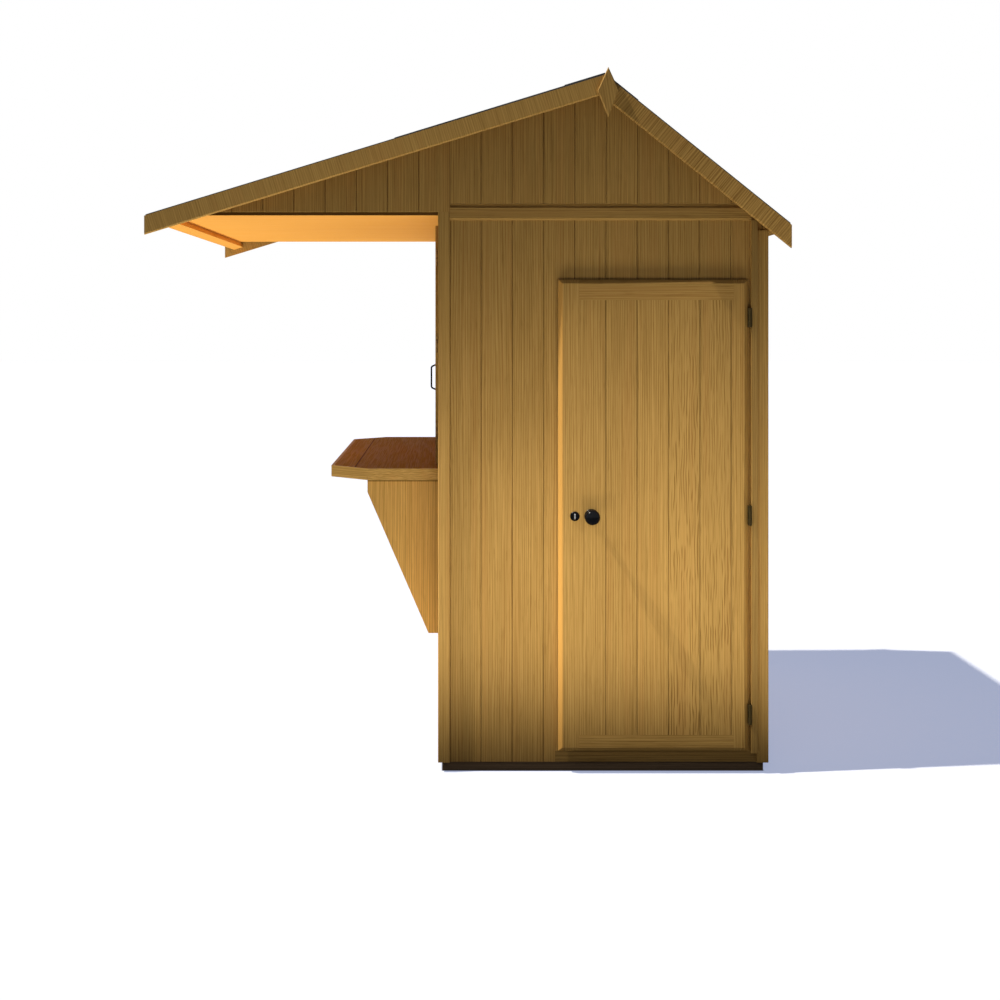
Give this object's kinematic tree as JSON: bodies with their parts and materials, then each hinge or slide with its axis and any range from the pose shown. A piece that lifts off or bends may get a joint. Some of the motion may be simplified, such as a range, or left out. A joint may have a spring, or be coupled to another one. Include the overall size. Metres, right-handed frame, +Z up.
{
  "type": "outdoor garden bar",
  "caption": "Timber garden bar: a small boarded shed with a side door, a shuttered serving hatch, a chamfered shelf and a deep canopy roof.",
  "frame": {"origin": "on the ground, under the centre of the shed's body", "axes": "+Z up; -Y is the front with the hatch, shelf and canopy; +X is the gable with the door"},
  "size_m": [2.028, 2.301, 2.5256],
  "materials": {
    "treated_timber": "pressure-treated planed boards, satin stain",
    "shelf_timber": "darker red-brown stained boards",
    "frame_timber": "sawn framing timber",
    "roof_felt": "mineral roofing felt, matt charcoal",
    "black_metal": "black enamelled steel, glossy"
  },
  "bodies": {
    "building": {"back_wall": "treated_timber", "canopy_soffit": "treated_timber", "corner_strips": "treated_timber", "door_sill": "treated_timber", "finials": "treated_timber", "floor_bearers": "frame_timber", "floor_boards": "treated_timber", "front_back_rails": "frame_timber", "front_back_studs": "frame_timber", "front_barge_boards": "treated_timber", "front_eave_batten": "treated_timber", "front_rafters": "frame_timber", "front_roof_board": "treated_timber", "front_roof_felt": "roof_felt", "front_wall_lower": "treated_timber", "front_wall_sides": "treated_timber", "front_wall_upper": "treated_timber", "gable_chords": "frame_timber", "gable_cover_strips": "treated_timber", "gable_panels": "treated_timber", "hinge_jamb": "treated_timber", "jamb_hinge_leaves": "black_metal", "left_wall": "treated_timber", "lock_keep": "black_metal", "pull_handle": "black_metal", "rear_barge_boards": "treated_timber", "rear_eave_batten": "treated_timber", "rear_rafters": "frame_timber", "rear_roof_board": "treated_timber", "rear_roof_felt": "roof_felt", "right_wall_front": "treated_timber", "right_wall_header": "treated_timber", "right_wall_rear": "treated_timber", "roof_purlins": "frame_timber", "shelf_bearers": "frame_timber", "shelf_brackets": "treated_timber", "shelf_edging": "treated_timber", "shelf_front_board": "shelf_timber", "shelf_main_board": "shelf_timber", "shutter_battens": "frame_timber", "shutter_hinges": "black_metal", "shutters": "treated_timber", "side_rails": "frame_timber", "side_studs": "frame_timber", "soffit_battens": "frame_timber"},
    "door": {"door_stiles": "treated_timber", "door_rails": "treated_timber", "door_boards": "treated_timber", "door_ledges": "frame_timber", "door_hinge_leaves": "black_metal", "door_plates": "black_metal", "lock_case": "black_metal"},
    "knob": {"outer_knob": "black_metal", "inner_knob": "black_metal"}
  },
  "joints": [
    {"name": "door_hinge", "type": "hinge", "parent": "building", "child": "door", "pos_m": [0.9535, 0.5245, 0.9265], "axis": [0, 0, 1], "range_deg": [0, 170]},
    {"name": "knob_turn", "type": "hinge", "parent": "door", "child": "knob", "pos_m": [0.948, -0.044, 0.924], "axis": [1, 0, 0], "range_deg": [-50, 50], "stiffness_Nm_per_rad": 0.4}
  ]
}
